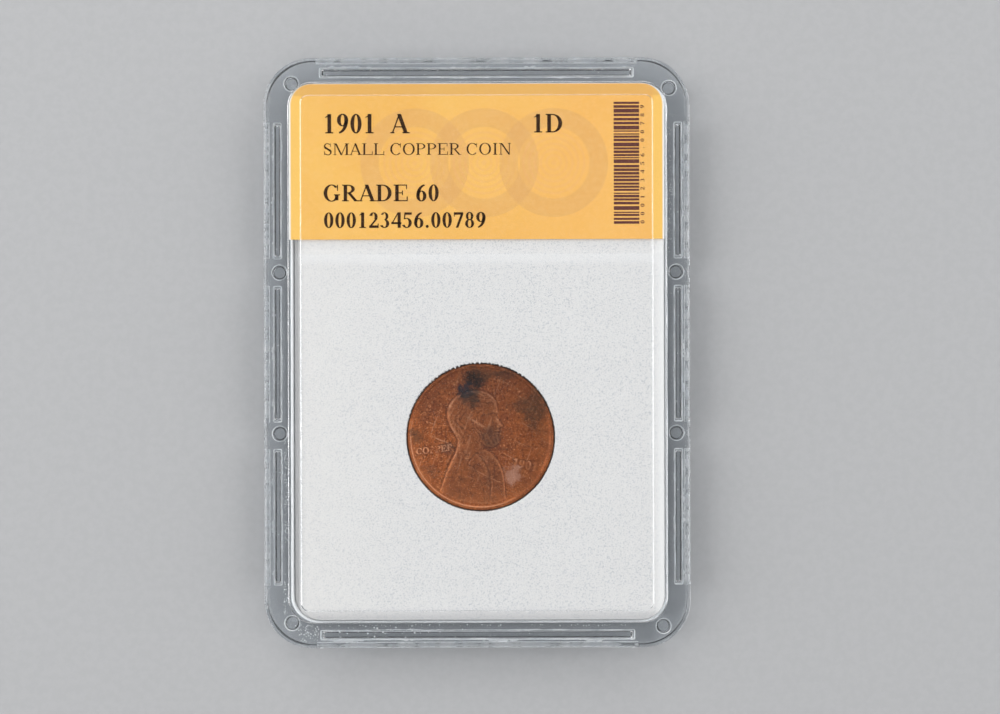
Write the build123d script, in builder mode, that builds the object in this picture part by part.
from build123d import *

import os

# Graded coin slab: a welded clear holder with a foam insert, a label card and one small coin.
# It lies on its back, with the origin at the centre of the back face.
# +X is right, +Y is towards the label end and +Z is out of the front face. All lengths are in millimetres.

os.makedirs("parts", exist_ok=True)

# Holder outline
slab_width = 55.0
slab_length = 76.2
slab_thickness = 6.4
slab_corner = 6.2
edge_round = 0.45

# The halves meet at mid thickness, and each stands back from that plane by the film of the weld
parting = slab_thickness / 2
weld_film = 0.02
rear_top = parting - weld_film
front_base = parting + weld_film

# Windows, sunk into the front and the back inside a raised frame
window_width = 45.4
window_length = 66.5
window_corner = 1.0
window_recess = 0.4
window_wall = 1.5
window_edge_round = 0.14
window_root_round = 0.1

# Pocket: the rear half fits round the foam, and the front half is a little wider, for the label
rear_pocket_width = 48.65
rear_pocket_length = 69.78
rear_pocket_corner = 3.4
rear_pocket_centre = (0.175, 0.06)
front_pocket_width = 49.05
front_pocket_length = 70.05
front_pocket_corner = 3.2
front_pocket_centre = (0.075, 0.075)
pocket_floor = window_recess + window_wall
pocket_ceiling = slab_thickness - window_recess - window_wall
ceiling_round = 0.12

# Weld bars: a tongue under the front half stands in a groove of the rear half
top_bar_y = 36.32
bottom_bar_y = -36.56
end_bar_length = 40.1
end_tongue_width = 0.82
end_groove_gap = 0.26
left_bar_x = -25.85
right_bar_x = 26.1
middle_bar_y = -0.12
side_bar_pitch = 21.15
side_bar_length = 17.0
side_tongue_width = 0.7
side_groove_gap = 0.22
groove_end_gap = 0.35
groove_depth = 1.05
bar_corner = 0.2
groove_round = 0.15

# Locating pins under the front half, in blind sockets of the rear half.
# No two corners match, so the halves go together only one way.
pin_top_left = (-24.0, 34.93)
pin_top_right = (24.95, 34.28)
pin_bottom_left = (-24.05, -35.0)
pin_bottom_right = (24.1, -35.5)
left_pin_x = -25.6
right_pin_x = 25.85
side_pin_y = 10.45
pin_radius = 0.86
pin_height = 1.35
tip_chamfer = 0.15
socket_radius = 1.05
socket_depth = 1.5

# Outer lips of the rear half, which stand in rebates of the front half beside each weld bar
lip_width = 0.6
lip_height = 0.95
lip_gap = 0.05
end_lip_length = 41.6
side_lip_length = 17.7

# Foam insert, cut with sloping sides: its back fills the pocket and its front lies right of centre
foam_width = 47.4
foam_length = 69.2
foam_corner = 3.0
foam_thickness = 2.3
foam_x = 0.5
foam_back_width = 48.5
foam_back_length = 69.6
foam_back_corner = 3.35
foam_back_centre = (0.16, 0.06)
foam_top = pocket_floor + foam_thickness

# Label card, lying in a shallow seat at the top of the foam
label_width = 48.6
label_top_y = 34.85
label_bottom_y = 14.7
label_corner = 2.95
label_thickness = 0.22
seat_depth = 0.2
seat_bottom_y = 12.9
label_base = foam_top - seat_depth

# Coin, gripped by the hole through the foam
coin_radius = 19.05 / 2
coin_thickness = 1.52
coin_x = 0.45
coin_y = -10.92
coin_base = 2.43
coin_top = coin_base + coin_thickness
coin_edge_round = 0.12
coin_rim_width = 0.55
coin_field_depth = 0.2
relief_height = 0.12
coin_hole_gap = 0.08
head_size = (2.7, 3.4)
neck_size = (3.2, 3.6)
shoulder_size = (6.2, 6.4)
leaf_size = (0.9, 0.45)
leaf_count = 18
leaf_circle = 6.6
numeral_size = (1.1, 6.0)

coin_centre = (coin_x, coin_y)
bar_rows = [middle_bar_y + side_bar_pitch * row for row in (-1, 0, 1)]
side_bars = Locations([(x, y) for x in (left_bar_x, right_bar_x) for y in bar_rows])
end_bars = Locations((0, top_bar_y), (0, bottom_bar_y))
side_edges = Locations([(x, y) for x in (-slab_width / 2, slab_width / 2) for y in bar_rows])
end_edges = GridLocations(0, slab_length, 1, 2)
corner_pins = Locations(pin_top_left, pin_top_right, pin_bottom_left, pin_bottom_right)
side_pins = Locations([(x, y) for x in (left_pin_x, right_pin_x) for y in (-side_pin_y, side_pin_y)])


# Rear half: back window, foam pocket, grooves, sockets and the outer lips
with BuildPart() as rear_shell:
    with BuildSketch(Plane.XY):
        RectangleRounded(slab_width, slab_length, slab_corner)
    extrude(amount=rear_top)
    # The lips are the part of the outline that lies beside each weld bar
    with BuildSketch(Plane.XY.offset(rear_top)):
        with side_edges:
            Rectangle(2 * lip_width, side_lip_length)
        with end_edges:
            Rectangle(end_lip_length, 2 * lip_width)
        RectangleRounded(slab_width, slab_length, slab_corner, mode=Mode.INTERSECT)
    extrude(amount=lip_height)
    fillet(rear_shell.faces().sort_by(Axis.Z)[0].edges(), edge_round)
    # Back window
    with BuildSketch(Plane.XY):
        RectangleRounded(window_width, window_length, window_corner)
    extrude(amount=window_recess, mode=Mode.SUBTRACT)
    fillet(rear_shell.faces().sort_by(Axis.Z)[0].inner_wires().edges(), window_edge_round)
    rear_pane = rear_shell.faces().filter_by(Plane.XY).sort_by(Axis.Z)[1]
    fillet(rear_pane.edges(), window_root_round)
    # Foam pocket
    with BuildSketch(Plane.XY.offset(pocket_floor)):
        with Locations(rear_pocket_centre):
            RectangleRounded(rear_pocket_width, rear_pocket_length, rear_pocket_corner)
    extrude(amount=rear_top - pocket_floor, mode=Mode.SUBTRACT)
    # Weld grooves
    with BuildSketch(Plane.XY.offset(rear_top)):
        with side_bars:
            RectangleRounded(
                side_tongue_width + 2 * side_groove_gap,
                side_bar_length + 2 * groove_end_gap,
                bar_corner,
            )
        with end_bars:
            RectangleRounded(
                end_bar_length + 2 * groove_end_gap,
                end_tongue_width + 2 * end_groove_gap,
                bar_corner,
            )
    extrude(amount=-groove_depth, mode=Mode.SUBTRACT)
    groove_floors = rear_shell.faces(Select.LAST).filter_by(Plane.XY).group_by(Axis.Z)[0]
    fillet(groove_floors.edges(), groove_round)
    # Pin sockets
    with BuildSketch(Plane.XY.offset(rear_top)):
        with corner_pins:
            Circle(socket_radius)
        with side_pins:
            Circle(socket_radius)
    extrude(amount=-socket_depth, mode=Mode.SUBTRACT)
rear_shell.part.label = "rear_shell"
export_step(rear_shell.part, "parts/rear_shell.step")


# Front half: front window, label pocket, lip rebates, tongues and locating pins
with BuildPart() as front_shell:
    with BuildSketch(Plane.XY.offset(front_base)):
        RectangleRounded(slab_width, slab_length, slab_corner)
    extrude(amount=slab_thickness - front_base)
    fillet(front_shell.faces().sort_by(Axis.Z)[-1].edges(), edge_round)
    # Front window
    with BuildSketch(Plane.XY.offset(slab_thickness)):
        RectangleRounded(window_width, window_length, window_corner)
    extrude(amount=-window_recess, mode=Mode.SUBTRACT)
    fillet(front_shell.faces().sort_by(Axis.Z)[-1].inner_wires().edges(), window_edge_round)
    front_pane = front_shell.faces().filter_by(Plane.XY).sort_by(Axis.Z)[-2]
    fillet(front_pane.edges(), window_root_round)
    # Label pocket
    with BuildSketch(Plane.XY.offset(front_base)):
        with Locations(front_pocket_centre):
            RectangleRounded(front_pocket_width, front_pocket_length, front_pocket_corner)
    extrude(amount=pocket_ceiling - front_base, mode=Mode.SUBTRACT)
    ceiling = front_shell.faces().filter_by(Plane.XY).sort_by(Axis.Z)[1]
    fillet(ceiling.edges(), ceiling_round)
    # Rebates that take the outer lips of the rear half
    with BuildSketch(Plane.XY.offset(front_base)):
        with side_edges:
            Rectangle(2 * (lip_width + lip_gap), side_lip_length + 2 * lip_gap)
        with end_edges:
            Rectangle(end_lip_length + 2 * lip_gap, 2 * (lip_width + lip_gap))
    extrude(amount=lip_height - 2 * weld_film + lip_gap, mode=Mode.SUBTRACT)
    # Weld tongues, which reach the film of weld on the groove floor
    with BuildSketch(Plane.XY.offset(front_base)):
        with side_bars:
            RectangleRounded(side_tongue_width, side_bar_length, bar_corner)
        with end_bars:
            RectangleRounded(end_bar_length, end_tongue_width, bar_corner)
    extrude(amount=-(groove_depth + weld_film))
    tongue_tips = front_shell.faces().group_by(Axis.Z)[0]
    chamfer(tongue_tips.edges(), tip_chamfer)
    # Locating pins
    with BuildSketch(Plane.XY.offset(front_base)):
        with corner_pins:
            Circle(pin_radius)
        with side_pins:
            Circle(pin_radius)
    extrude(amount=-pin_height)
    pin_tips = front_shell.faces().group_by(Axis.Z)[0]
    chamfer(pin_tips.edges(), tip_chamfer)
front_shell.part.label = "front_shell"
export_step(front_shell.part, "parts/front_shell.step")


# Foam insert: a die cut sheet with the coin's hole through it and the label's seat pressed into its front
with BuildPart() as foam_insert:
    with BuildSketch(Plane.XY.offset(pocket_floor)):
        with Locations(foam_back_centre):
            RectangleRounded(foam_back_width, foam_back_length, foam_back_corner)
    with BuildSketch(Plane.XY.offset(foam_top)):
        with Locations((foam_x, 0)):
            RectangleRounded(foam_width, foam_length, foam_corner)
    loft()
    with BuildSketch(Plane.XY.offset(pocket_floor)):
        with Locations(coin_centre):
            Circle(coin_radius + coin_hole_gap)
    extrude(amount=foam_thickness, mode=Mode.SUBTRACT)
    with BuildSketch(Plane.XY.offset(foam_top)):
        with Locations((foam_x, seat_bottom_y)):
            Rectangle(2 * foam_width, foam_length, align=(Align.CENTER, Align.MIN))
    extrude(amount=-seat_depth, mode=Mode.SUBTRACT)
foam_insert.part.label = "foam_insert"
export_step(foam_insert.part, "parts/foam_insert.step")


# Label card: square at its lower edge and rounded at its two upper corners
with BuildPart() as label_card:
    with BuildSketch(Plane.XY.offset(label_base)) as card_outline:
        with Locations((0, label_bottom_y)):
            Rectangle(label_width, label_top_y - label_bottom_y, align=(Align.CENTER, Align.MIN))
        fillet(card_outline.vertices().group_by(Axis.Y)[-1], label_corner)
    extrude(amount=label_thickness)
label_card.part.label = "label_card"
export_step(label_card.part, "parts/label_card.step")


# Coin: raised rims, sunk fields, a plain bust on the front and a numeral in a wreath on the back
bust_head = (coin_x + 0.2, coin_y + 2.5)
bust_neck = (coin_x - 0.6, coin_y - 1.6)

with BuildPart() as coin:
    with BuildSketch(Plane.XY.offset(coin_base)):
        with Locations(coin_centre):
            Circle(coin_radius)
    extrude(amount=coin_thickness)
    fillet(coin.edges(), coin_edge_round)
    with BuildSketch(Plane.XY.offset(coin_top), Plane.XY.offset(coin_base + coin_field_depth)):
        with Locations(coin_centre):
            Circle(coin_radius - coin_rim_width)
    extrude(amount=-coin_field_depth, mode=Mode.SUBTRACT)
    # Bust, cut off by the rim below the shoulders
    with BuildSketch(Plane.XY.offset(coin_top - coin_field_depth)):
        with Locations(bust_head):
            Ellipse(*head_size)
        with Locations(bust_neck):
            Rectangle(*neck_size)
        with Locations((coin_x, coin_y - coin_radius + coin_rim_width)):
            Ellipse(*shoulder_size)
        with Locations(coin_centre):
            Circle(coin_radius - coin_rim_width, mode=Mode.INTERSECT)
    extrude(amount=relief_height)
    # Wreath and numeral
    with BuildSketch(Plane.XY.offset(coin_base + coin_field_depth)):
        with Locations(coin_centre):
            with PolarLocations(leaf_circle, leaf_count):
                Ellipse(*leaf_size)
            Rectangle(*numeral_size)
    extrude(amount=-relief_height)
coin.part.label = "coin"
export_step(coin.part, "parts/coin.step")
